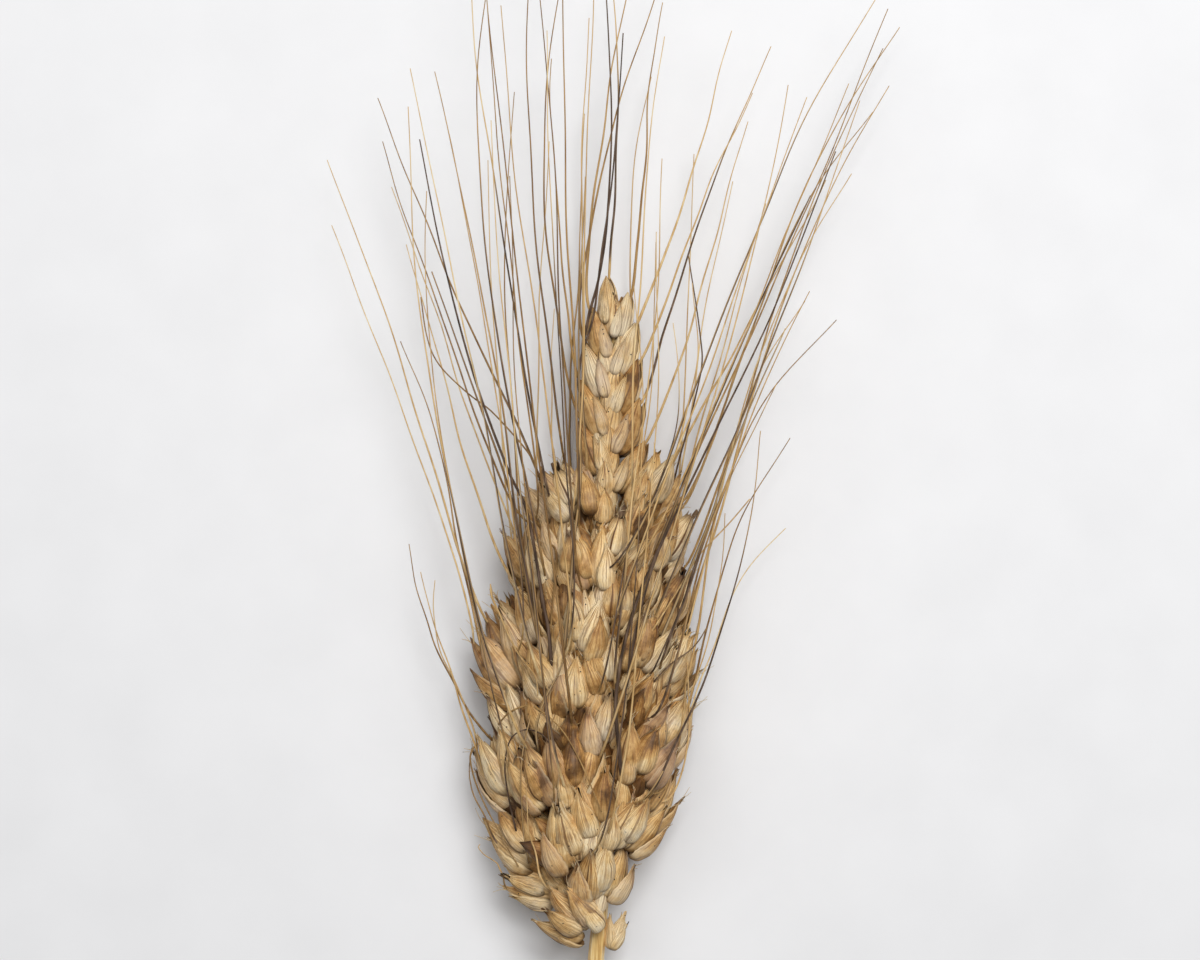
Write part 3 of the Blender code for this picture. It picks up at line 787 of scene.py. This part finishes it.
def rooted(line, beak, arch, drift=(0.0, 0.0, 0.0)):
    """An awn's line bent to start inside a floret's beak, with its end moved by a drift.

    The step to the beak fades with (1 - share) cubed, and the drift grows with share to the 1.5.
    The arch lifts the first half of the line by half a sine wave.
    """
    tip, way = beak
    share = np.linspace(0, 1, len(line))[:, None]
    bent = line + (tip - line[0]) * (1 - share) ** 3 + np.array(drift) * share ** 1.5
    bent[:, 2] += arch * np.sin(np.pi * np.minimum(share[:, 0] / 0.5, 1))
    return np.vstack([tip - way * ROOT_DEPTH, bent])


def tipped(base, turn):
    """Directions turned about their outward way by some degrees, so that a spikelet leans aside."""
    across, along, outward = base
    a = math.radians(turn)
    return np.array([across * math.cos(a) - along * math.sin(a),
                     along * math.cos(a) + across * math.sin(a), outward])


def rolled(base, turn):
    """Directions turned about their own length by some degrees."""
    across, along, outward = base
    a = math.radians(turn)
    side = across * math.cos(a) + outward * math.sin(a)
    return np.array([side, along, np.cross(side, along)])


lowest = min(float(foot[1]) for foot, _, _ in places.values())
print("lowest foot at", round(lowest, 1), "mm")

# %% Build husks and awns
awn_count = 0
for index, name in enumerate(spikelet_names):
    random = np.random.default_rng(100 + index)
    row = row_of(name)
    slender = row.startswith("spike")
    foot, beak, line = places[name]
    lift, arch = RISE.get(row, (0.0, 0.0))
    lift = 0.0 if slender else lift + random.uniform(-1.2, 1.2)
    lift *= min(1.0, (float(foot[1]) - lowest) / NEAR_STALK)
    base = directions(name, lift)
    foot = foot + np.array([0.0, 0.0, lift])
    long = float(np.linalg.norm(beak - foot))
    if not slender:
        base = tipped(rolled(base, random.uniform(-25, 25)), random.uniform(-9, 9))
    start = foot - base[1] * long * SUNK_FOOT
    design = SLENDER if slender else CROWDED
    frays = 0 if slender else FRAYS.get(row, FRAYS_ELSEWHERE)
    tone = random.uniform(0.35, 0.85) + float(np.interp(foot[1], *TONE_ALONG)) + PALER.get(row, 0.0)
    surfaces, beaks = spikelet_parts(random, start, long * design["longer"], base, design,
                                     frays, tone)
    mesh_piece("husks_" + name[len("spikelet_"):], surfaces, husk_skin, name)
    darkness = DARK_FRONT if arch > HIGH_ARCH else DARK_BESIDE
    awns = [awn(random, rooted(line, beaks[0], arch), random.uniform(1.0, 1.3),
                random.choice(darkness))]
    if row in RISE and index % 2:
        inwards = -np.sign(line[-1][0]) * random.uniform(0, 7)
        drift = (inwards, random.uniform(-16, -2), random.uniform(-2, 2))
        awns.append(awn(random, rooted(line, beaks[1], arch, drift), 0.85, random.choice(darkness)))
    mesh_piece("awns_" + name[len("spikelet_"):], awns, awn_skin)
    awn_count += len(awns)
print("awns:", awn_count)

# %% [markdown]
# ## Husks deep in the ear
# Between the spikelets that show, a real ear is packed with the feet and backs of others. Without
# them, light would fall through to the floor. So each pair of neighbours in a row gets a few husks
# between them, sunk towards the axis and darkened as painted shade, and rings of four husks stand
# round the axis itself, those of the crowd also darkened as painted shade. A collar of four more
# closes the front of the ear where it meets the stalk.

# %% The ear's axis
axis_low, axis_high = (np.array(corner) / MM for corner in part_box("stalk_and_axis"))
on_axis = np.array([places[name][0] for name in spikelet_names
                    if row_of(name).startswith(("middle", "spike"))])
axis_line = np.polyfit(on_axis[:, 1], on_axis[:, [0, 2]], 2)     # across and height against along


def axis_point(along):
    """The point on the ear's axis at a place along it: a quadratic fit to the feet beside it."""
    across, height = axis_line.T @ [along ** 2, along, 1]
    return np.array([across, along, height])


print("axis at the foot of the slender spike:", np.round(axis_point(0), 1))

# %% Clusters between neighbours
FORWARD, INWARD = 0.18, 0.22    # shares of the way to the beaks, and then to the axis
# painted shade: the low tone of the inner clusters stands for the shade deep between spikelets
DEEP_SHADE_TONE, INNER_FRAYS = -0.28, 2
INNER = {
    "florets": (
        (-8, 0, (-0.8, 0.0, 0.0), 1.0, 4.6, 3.6, 120, 125, 0.3),
        (9, 0, (0.9, 0.2, 0.0), 0.95, 4.4, 3.5, 60, 125, 0.3),
    ),
    "glumes": ((0, 5, (0.0, -0.4, 0.8), 0.8, 4.2, 3.0, 90, 95, 0.6),),
    "skin": {"florets": (0.0, 0.0, 0.3), "glumes": (0.0, 0.0, 0.3)},
    "chaos": 1.0,
}


def between(first, second, random):
    """Foot, directions and length of an inner cluster, half-way between two spikelets."""
    foot = (places[first][0] + places[second][0]) / 2
    way = (places[first][1] - places[first][0] + places[second][1] - places[second][0]) / 2
    foot = foot + way * FORWARD
    foot = foot + (axis_point(foot[1]) - foot) * INWARD
    base = rolled(directions(first), random.uniform(-40, 40))
    return foot, base, float(np.linalg.norm(way))


inner_count = 0
for index, (first, second) in enumerate(zip(spikelet_names, spikelet_names[1:])):
    row = row_of(first)
    if row == row_of(second) and not row.startswith("spike"):
        random = np.random.default_rng(900 + index)
        foot, base, long = between(first, second, random)
        surfaces, _ = spikelet_parts(random, foot, long, base, INNER, INNER_FRAYS, DEEP_SHADE_TONE)
        mesh_piece("inner_husks_" + first[len("spikelet_"):], surfaces, husk_skin)
        inner_count += 1
print("inner clusters:", inner_count)

# %% Rings round the axis
LEAN_OUT = 0.32         # the tangent of 18 degrees


def core_ring(random, along, reach, size, tone):
    """Four husks round the axis at a place along it, backs outwards, leaning away from it.

    reach is how far from the axis they stand, and size is their length, width and depth.
    """
    surfaces = []
    for quarter in range(4):
        turn = math.radians(90 * quarter + random.uniform(0, 90))
        outward = np.array([math.sin(turn), 0.0, math.cos(turn)])
        way = unit(np.array([0.0, 1.0, 0.0]) + outward * LEAN_OUT)
        rows = np.array([np.cross(way, outward), way, outward])
        rows[2] = np.cross(rows[0], way)
        foot = axis_point(along) + outward * reach
        shape = (tone + random.uniform(-0.3, 0.3), 0.2, random.uniform(0, 1))
        length, width, depth = np.array(size) * random.uniform(0.85, 1.15)
        shell = husk(random, shape, length, width, depth, 125, torn=0.3)
        surfaces.append(turned(shell, foot, rows))
    return surfaces


def feet_along(slender):
    """Where the feet of the slender spike stand along the ear, or those of the crowd."""
    return np.array([places[name][0][1] for name in spikelet_names
                     if row_of(name).startswith("spike") == slender])


# Each: piece, slender or not, start and end past the feet, step, reach, size and tone.
# painted shade: the crowd's core ring tone of -0.3 darkens it as shade deep in the ear
RINGS = (("core_husks", False, 6, -3, 4.5, 1.6, (9.5, 4.8, 3.8), -0.3),
         ("spike_core_husks", True, -7, -0.5, 3.2, 0.3, (6.5, 3.2, 2.6), 0.35))
random = np.random.default_rng(77)
for title, slender, first, last, step, reach, size, tone in RINGS:
    feet = feet_along(slender)
    core = []
    for along in np.arange(feet.min() + first, feet.max() + last, step):
        core.extend(core_ring(random, along, reach, size, tone))
    mesh_piece(title, core, husk_skin)
    print(title, "in", len(core) // 4, "rings")

# %% The collar
# Husks of the lowest spikelet, in front of the stalk: foot and direction of each.
COLLAR = (((-4.0, -73.4, 11.2), (-0.12, 1.0, 0.1)), ((-5.0, -73.0, 11.0), (-0.55, 1.0, 0.15)),
          ((-3.6, -71.8, 12.4), (0.25, 1.0, 0.1)), ((-4.4, -70.2, 13.2), (-0.25, 1.0, 0.2)))
collar = []
for foot, way in COLLAR:
    rows = np.array([np.cross(unit(way), (0.0, 0.0, 1.0)), unit(way), (0.0, 0.0, 1.0)])
    rows[0] = unit(rows[0])
    rows[2] = np.cross(rows[0], rows[1])
    shell = husk(random, (0.6, random.uniform(0, 0.9), 0.4), 8.6, 3.6, 3.0, 120, torn=0.4)
    collar.append(turned(shell, np.array(foot), rows))
mesh_piece("collar_husks", collar, husk_skin)
print("collar husks:", len(collar))

# %% [markdown]
# ## Loose and bent awns
# Some awns were bent when the ear dried or was handled: they cross over the front of the ear,
# hook back on themselves at the left, or run down the right edge in a loop. Each is drawn as a
# few points in millimetres. A search tree of the husks tells how high the ear stands under each
# point of the smooth line, and the line is laid just over that, so no bristle cuts through a
# husk.

# %% Points of the strands
# Each: thickness, darkness, and points (across, along, height).
STRANDS = {
    "dark_left_outer": (1.5, 1.0, (
        (-9.8, -32.5, 15.5), (-10.1, -29.8, 19.0), (-10.5, -25.5, 20.5), (-11.5, -20.5, 20.5),
        (-13.9, -7.0, 19.5), (-16.9, -0.3, 18), (-22, 14, 17), (-27, 32, 16), (-31, 52, 15))),
    "dark_left_inner": (1.4, 1.0, (
        (-11.3, -30.0, 15), (-12.2, -26.5, 19.0), (-13.3, -21.8, 20), (-15.2, -11.2, 19.5),
        (-17.4, -1.0, 17.5), (-22.5, 13, 16.5), (-29, 31, 16))),
    "dark_centre": (1.3, 1.0, (
        (-8.0, -29.5, 14), (-7.6, -24.8, 19), (-7.0, -19.8, 21.5), (-6.4, -11.9, 20),
        (-5.6, -4.5, 19), (-5.4, 1.6, 18), (-5.8, 20, 17), (-4.6, 46, 16))),
    "dark_right": (1.8, 1.0, (
        (1.2, -49.5, 14), (0.7, -44.5, 19), (0.2, -36.5, 22), (1.6, -27.5, 21),
        (4.0, -19.5, 20.5), (6.0, -14.7, 20), (12.5, 2, 18), (22, 24, 17), (31, 43, 16))),
    "dark_right_twin": (1.2, 1.0, (
        (1.6, -35.5, 16), (2.4, -31.0, 20.5), (3.2, -26, 20.8), (5.4, -17.5, 20.3),
        (8.0, -10.5, 19.5), (14.5, 3, 18), (25, 25, 17), (35, 50, 16))),
    "dark_right_edge": (1.2, 1.0, (
        (6.4, -29.1, 18), (10.4, -19.5, 19.5), (15, -8, 18.5), (19, 4, 17), (27, 22, 16))),
    "hooked_light": (1.0, 0.0, (
        (-10.9, -11.2, 18.5), (-10.2, -11.9, 19.5), (-9.3, -14.4, 20), (-10.0, -24.2, 20.5),
        (-10.6, -30.5, 18.5))),
    "dark_low": (1.0, 1.0, (
        (-12.0, -45.5, 18), (-12.3, -41, 19.8), (-11.0, -36.5, 20.2), (-8.6, -31.5, 20),
        (-7.0, -26.5, 18.5))),
    "low_curl": (0.8, 1.0, (
        (-15.4, -59.0, 11), (-16.5, -54, 17), (-17.5, -48, 18.8), (-16.5, -43, 19),
        (-14.0, -41.3, 18.5), (-11.6, -41.9, 17.5), (-10.4, -43.2, 15))),
    "low_arc": (0.8, 0.2, (
        (-19.0, -41.5, 15), (-16.5, -38.6, 17.5), (-13, -37.6, 19), (-9.0, -40.6, 20),
        (-5.5, -46, 20), (-2.0, -54, 18))),
    "low_stem": (0.9, 0.9, (
        (-13.6, -63.5, 12), (-14.6, -56, 17.6), (-14.7, -47, 19), (-13.3, -39, 18.5))),
    "left_hook": (0.75, 0.4, (
        (-21.6, -44.2, 9), (-22.7, -45.0, 9), (-23.2, -47.0, 9), (-21.9, -51.5, 9),
        (-18.6, -58, 9.5), (-15.4, -63.5, 10.5))),
    "right_loop_outer": (0.8, 0.1, (
        (6.0, -53.6, 13), (9.0, -52.3, 12), (11.0, -47.5, 11), (11.9, -40, 10.5),
        (11.6, -31, 10.5))),
    "right_loop_inner": (0.7, 0.2, (
        (4.9, -52.0, 15), (7.8, -50.8, 14), (9.8, -46.0, 13), (10.8, -39, 12),
        (11.3, -33.5, 11))),
    "right_bend": (0.9, 0.7, (
        (5.5, -34.5, 13), (9.0, -31.0, 16.5), (12.5, -28.6, 14.5), (14.6, -25.5, 13.5))),
    "right_fork": (0.7, 0.3, (
        (5.0, -27.0, 13), (8.6, -21.5, 16), (13.5, -14.0, 13), (18.6, -8.5, 12),
        (21.5, -5.0, 12))),
    "spike_dark_left": (1.2, 1.0, (
        (-4.5, 16.5, 9.2), (-5.1, 19.4, 9.6), (-3.9, 25.0, 12.5), (-2.4, 30.5, 14.0),
        (-1.2, 39.7, 14.2), (-0.6, 58, 14), (-1.4, 76, 14))),
    "spike_dark_twin": (1.0, 1.0, (
        (-5.0, 10.0, 9.2), (-5.8, 13.2, 9.6), (-5.2, 18.0, 11.6), (-3.4, 24, 14),
        (-2.2, 34, 14.4), (-0.2, 48, 14.4), (1.4, 69, 14))),
    "kinked_right": (0.8, 1.0, (
        (9.5, -2, 15), (12.2, 9, 15), (13.7, 16, 15), (13.5, 20.8, 15), (12.5, 28.3, 15),
        (11.8, 33.5, 15))),
    "kinked_left": (0.7, 0.3, (
        (-11.6, -3.5, 10), (-13.4, 1.8, 14), (-19, 8.4, 15), (-23.3, 11.8, 15), (-28, 16.5, 15),
        (-29.9, 20.8, 15), (-30.8, 27, 15))),
    "light_left": (0.9, 0.0, (
        (-19.8, -18.5, 14), (-19.2, -21.5, 15), (-15.7, -28.6, 17.5), (-12.6, -32.9, 18.8),
        (-12.2, -36.0, 18))),
}


print("points drawn:", sum(len(points) for _, _, points in STRANDS.values()))

# %% Laying a line over the ear
CLEAR = 0.35                    # millimetres from a strand's middle to the husk under it
CREST_STEPS, EASE_STEPS = 9, 17     # steps of the line that are looked at, and then averaged
SINK, SINK_RUN = 4.0, 3.0       # how deep a strand's start goes, and over what length


def running(values, count, combine):
    """Each value combined with its neighbours, count in all, with the ends repeated."""
    padded = np.pad(values, count // 2, mode="edge")
    return combine(np.lib.stride_tricks.sliding_window_view(padded, count), axis=1)


def draped(tree, points):
    """A line of given points laid over the ear.

    Its height is the highest husk within four steps plus CLEAR, or beside the ear its own height
    where that is more, smoothed by a running mean. Its first SINK_RUN millimetres dip into the ear.
    """
    path = smooth_line(points, AWN_ROWS)
    hits = [tree.ray_cast(Vector((x, y, 90.0)), Vector((0.0, 0.0, -1.0)))[0] for x, y, _ in path]
    over = np.array([hit is not None for hit in hits])
    tops = np.array([hit[2] if hit is not None else 0.0 for hit in hits])
    crest = running(tops, CREST_STEPS, np.max) + CLEAR
    height = running(np.where(over, crest, np.maximum(path[:, 2], crest)), EASE_STEPS, np.mean)
    run = np.concatenate([[0], np.cumsum(np.linalg.norm(np.diff(path, axis=0), axis=1))])
    path[:, 2] = height - SINK * np.clip(1 - run / SINK_RUN, 0, 1) ** 2 * over[0]
    return path


husk_points, husk_faces = joined(laid_down)
husk_tree = BVHTree.FromPolygons(husk_points.tolist(), husk_faces)
print("faces in the search tree:", len(husk_faces))

# %% Build the strands
STRAND_RADIUS, STRAND_TIP, STRAND_SWAY = 0.22, 0.1, 0.12
for index, (title, (thick, dark, points)) in enumerate(STRANDS.items()):
    random = np.random.default_rng(1500 + index)
    strand = bristle(random, draped(husk_tree, points), STRAND_RADIUS * thick, STRAND_TIP, AWN_ROWS,
                     AWN_SIDES, random.uniform(0.1, 0.9), dark, (-0.2, 1.2), STRAND_SWAY)
    mesh_piece("strand_" + title, [strand], awn_skin)
print("strands:", len(STRANDS))

# %% [markdown]
# ## The stalk and the tuft at its top
# The stalk is a yellow, glossy straw with fine ribs, cut square at its end. Its solid already has
# the right shape, so it only gets a finish. A tuft of three stunted bracts stands beside it just
# under the ear: short torn husks, which take the place of a plain solid.

# %% Material of the straw


def straw_material():
    """Ripe straw: waxy yellow skin with fine pale and brown lengthwise ribs."""
    material, tree, shader = new_material("ripe_straw")
    place = add(tree, "TexCoord").node.outputs["Object"]
    stretched = add(tree, "Mapping", {"Vector": place, "Scale": (1.0, 0.05, 1.0)})
    rib = add(tree, "TexNoise", {"Vector": stretched, "Scale": 1 / (0.35 * MM), "Detail": 4.0})
    patch = add(tree, "TexNoise", {"Vector": place, "Scale": 1 / (4 * MM), "Detail": 3.0})
    colour = add(tree, "ValToRGB", {0: rib}, stops=(
        (0.30, "B88D4E"), (0.50, "DDBA78"), (0.72, "F0DAA6")))
    brown = add(tree, "ValToRGB", {0: patch}, stops=((0.45, "FFFFFF"), (0.75, "B98A4C")))
    colour = add(tree, "Mix", {0: 0.8, 6: colour, 7: brown},
                 data_type="RGBA", blend_type="MULTIPLY")
    bump = add(tree, "Bump", {"Strength": 0.4, "Distance": 0.08 * MM, "Height": rib})
    connect(tree, shader, {"Base Color": colour, "Normal": bump, "Roughness": 0.42, "IOR": 1.5})
    return material


straw_skin = straw_material()
stalk_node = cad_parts["stalk_and_axis"]
stalk_node.data.materials.clear()
stalk_node.data.materials.append(straw_skin)
print("stalk from", np.round(axis_low, 1), "to", np.round(axis_high, 1))

# %% The tuft
tuft_low, tuft_high = (np.array(corner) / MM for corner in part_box("bract_tuft"))
random = np.random.default_rng(7)
tuft = []
upright = np.eye(3)
for lean, share, facing in ((-14, 1.0, 120), (6, 1.15, 70), (20, 0.9, 30)):
    rows = part_frame(upright, lean + 12, 4, facing)
    foot = np.array([tuft_low[0] + 0.5, tuft_low[1], (tuft_low[2] + tuft_high[2]) / 2])
    bract = husk(random, (0.6, 0.2, 0.3), 5.4 * share, 2.6, 1.8, 100, torn=0.8)
    tuft.append(turned(bract, foot, rows))
mesh_piece("tuft_bracts", tuft, husk_skin, "bract_tuft")
print("bracts in the tuft:", len(tuft))

# %% [markdown]
# ## Floor, light and camera
# The ear lies on plain pale paper. A large soft light from the upper right does most of the work,
# so the shadows are faint and lie to the left. A weaker one from the left fills them, a small one
# above gives the husks their shape, and a dim room closes the rest. The camera looks straight
# down through a long lens, which keeps the ear's thickness from spreading its outline.

# %% Floor, lights and room
FLOOR_HALF = 1.5        # metres
# Each light: place and side in metres, and power in watts.
LIGHTS = {
    "key": ((0.24, 0.36, 0.76), 0.42, 4.75),
    "fill": ((-0.34, 0.22, 0.80), 0.6, 1.9),
    "top": ((0.06, 0.14, 0.62), 0.25, 1.2),
}
ROOM_COLOUR, ROOM_STRENGTH = "F5F5F7", 0.14


def paper_material():
    """Matte pale paper with the faintest mottling."""
    material, tree, shader = new_material("matte_paper")
    place = add(tree, "TexCoord").node.outputs["Object"]
    mottle = add(tree, "TexNoise", {"Vector": place, "Scale": 60.0, "Detail": 4.0})
    colour = add(tree, "ValToRGB", {0: mottle}, stops=((0.3, "E5E5E6"), (0.7, "E9E9EA")))
    connect(tree, shader, {"Base Color": colour, "Roughness": 0.9, "Specular IOR Level": 0.2})
    return material


def make_floor(half):
    """A square sheet of paper at the height the ear rests on."""
    mesh = bpy.data.meshes.new("paper")
    corners = [(-half, -half, 0), (half, -half, 0), (half, half, 0), (-half, half, 0)]
    mesh.from_pydata(corners, [], [(0, 1, 2, 3)])
    mesh.materials.append(paper_material())
    placed("paper", mesh)


def soft_light(name, place, size, power):
    """A square soft light that looks at the ear."""
    lamp = bpy.data.lights.new(name, "AREA")
    lamp.size = size
    lamp.energy = power
    light = placed(name, lamp)
    light.location = place
    light.rotation_euler = (-Vector(place)).to_track_quat("-Z", "Y").to_euler()


make_floor(FLOOR_HALF)
for title, settings in LIGHTS.items():
    soft_light(title, *settings)
world = bpy.data.worlds.new("soft_room")
world.use_nodes = True
connect(world.node_tree, world.node_tree.nodes["Background"],
        {"Color": linear(ROOM_COLOUR), "Strength": ROOM_STRENGTH})
bpy.context.scene.world = world
bpy.context.scene.view_settings.view_transform = "Standard"
print("lights:", ", ".join(LIGHTS))

# %% The camera
VIEW_WIDTH = 192.0      # millimetres across the view
VIEW_LENGTH = 153.6     # and along it
VIEW_HEIGHT = 10.0      # millimetres over the floor where the view is that wide
STALK_BELOW = 12.0      # how far the stalk runs on under the view's lower edge
TIP_ASIDE = 1.74        # how far the spike's tip stands to the right of the view's middle
LENS, SENSOR = 100.0, 36.0

camera = placed("camera", bpy.data.cameras.new("camera"))
camera.data.lens = LENS
camera.data.sensor_width = SENSOR
aim_along = axis_low[1] + STALK_BELOW + VIEW_LENGTH / 2
aim_across = places["spikelet_spike_tip_1"][0][0] - TIP_ASIDE
distance = VIEW_WIDTH * LENS / SENSOR
camera.location = (aim_across * MM, aim_along * MM, (distance + VIEW_HEIGHT) * MM)
camera.data.clip_end = 20.0
bpy.context.scene.camera = camera
print("camera over", np.round(np.array(camera.location) / MM, 1))
